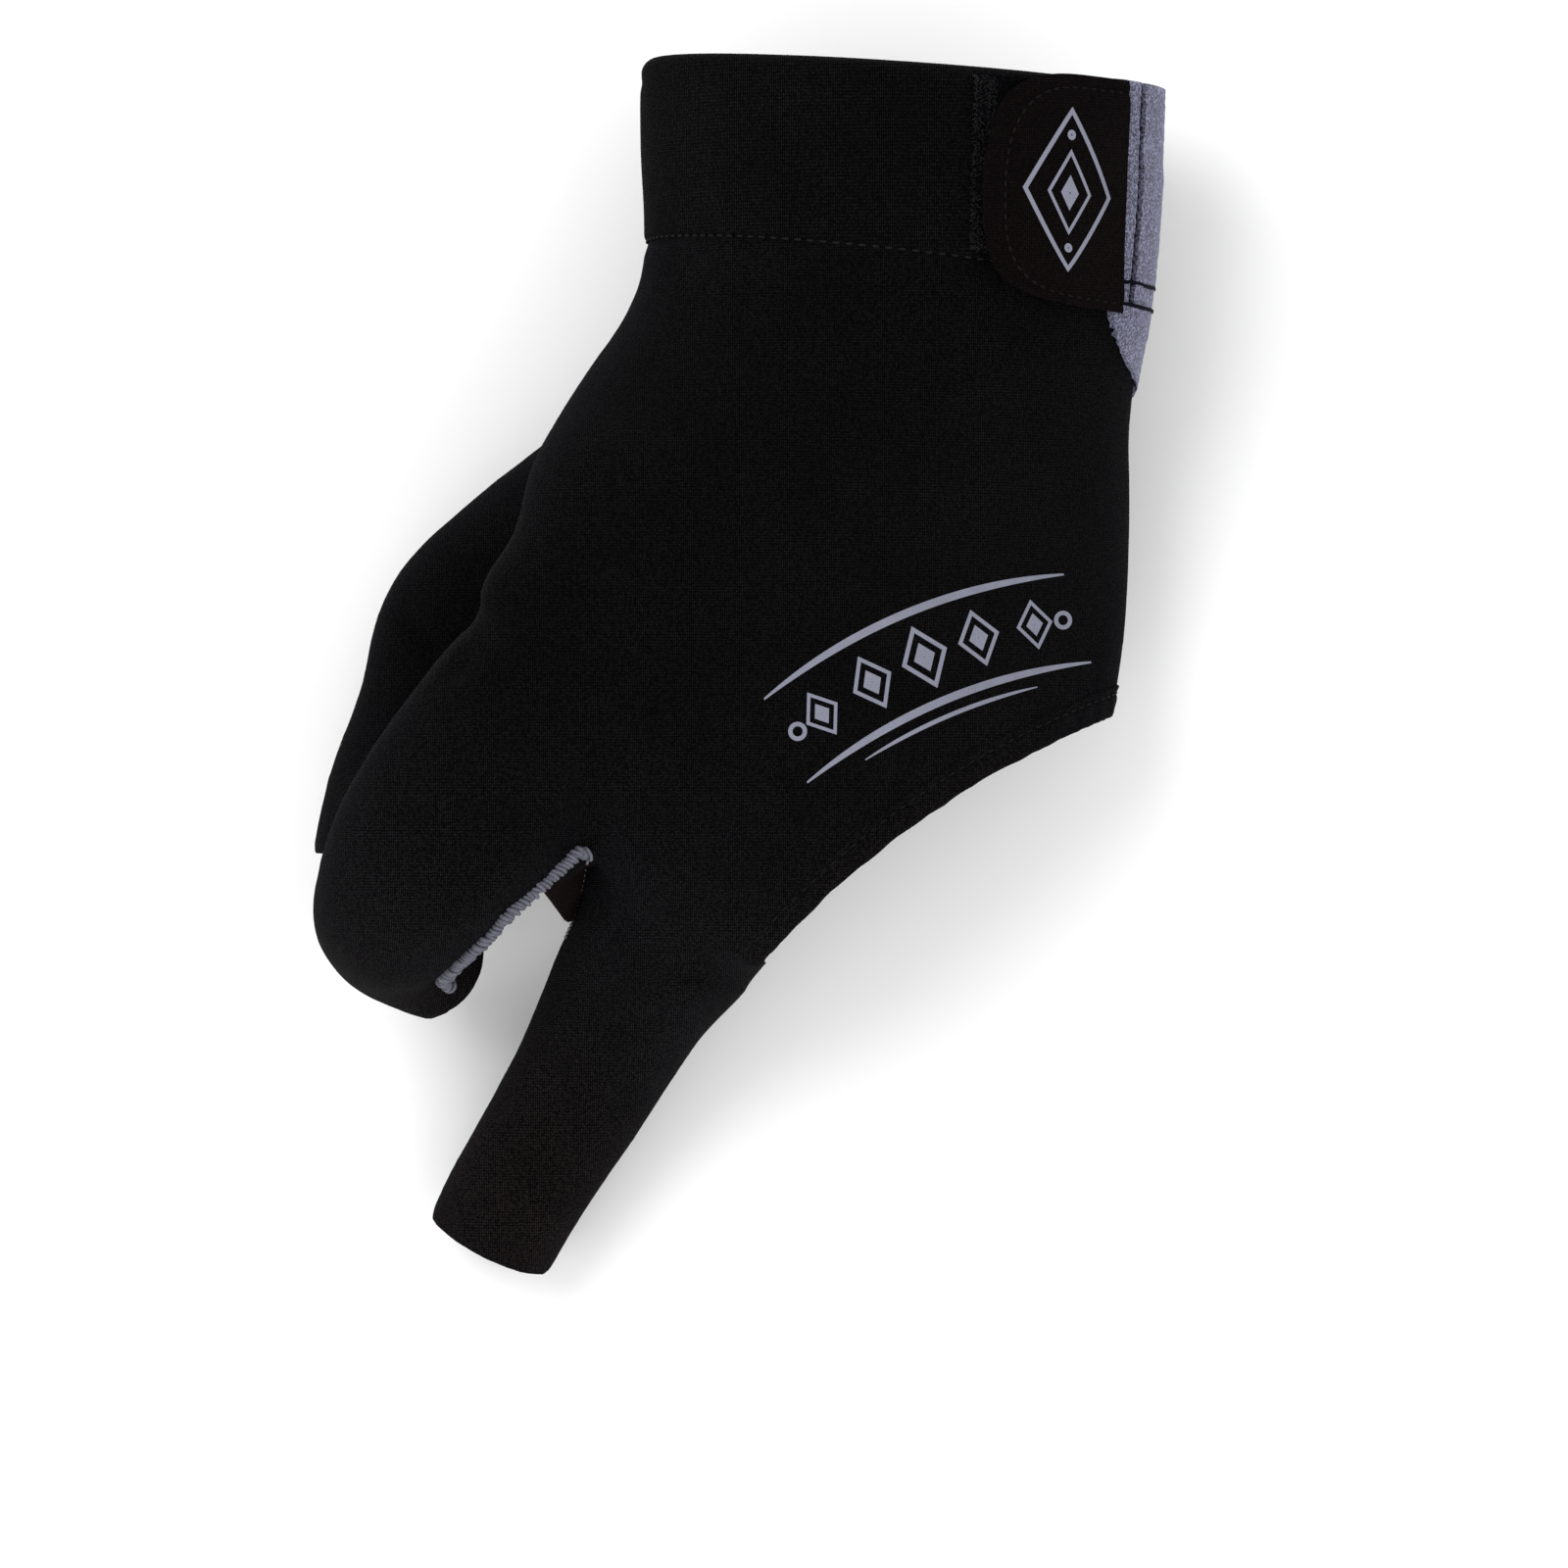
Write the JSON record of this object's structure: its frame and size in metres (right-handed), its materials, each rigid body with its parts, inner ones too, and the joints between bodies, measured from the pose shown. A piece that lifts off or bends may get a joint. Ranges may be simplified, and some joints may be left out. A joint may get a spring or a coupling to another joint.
{
  "type": "billiard glove",
  "caption": "Snug black stretch glove for a player's bridge hand, worn in a closed bridge, with bare finger ends and a wrist band that a tab closes.",
  "frame": {"origin": "centre of the wrist opening, at the cuff's edge", "axes": "+Y out of the wrist, so the fingers point along -Y; +Z out of the back of the hand; +X towards the little finger"},
  "size_m": [0.1199, 0.1714, 0.0598],
  "materials": {
    "hand_body": "black stretch knit with a faint bluish sheen",
    "index_sleeve": "black stretch knit with a faint bluish sheen",
    "middle_sleeve": "black stretch knit with a faint bluish sheen",
    "thumb_sleeve": "black stretch knit with a faint bluish sheen",
    "knuckle_hem": "black stretch knit with a faint bluish sheen",
    "wrist_cuff": "black stretch knit with a faint bluish sheen",
    "loop_patch": "fuzzy black loop tape",
    "closure_tab": "black stretch knit with a faint bluish sheen",
    "binding_back_strip": "brushed lavender-grey suede-like tape",
    "binding_palm_strip": "brushed lavender-grey suede-like tape",
    "binding_tail": "brushed lavender-grey suede-like tape",
    "finger_overlock": "lavender-grey overlock thread"
  },
  "bodies": {
    "root": {"hand_body": "hand_body", "index_sleeve": "index_sleeve", "middle_sleeve": "middle_sleeve", "thumb_sleeve": "thumb_sleeve", "knuckle_hem": "knuckle_hem", "wrist_cuff": "wrist_cuff", "loop_patch": "loop_patch", "closure_tab": "closure_tab", "binding_back_strip": "binding_back_strip", "binding_palm_strip": "binding_palm_strip", "binding_tail": "binding_tail", "finger_overlock": "finger_overlock"}
  },
  "joints": []
}
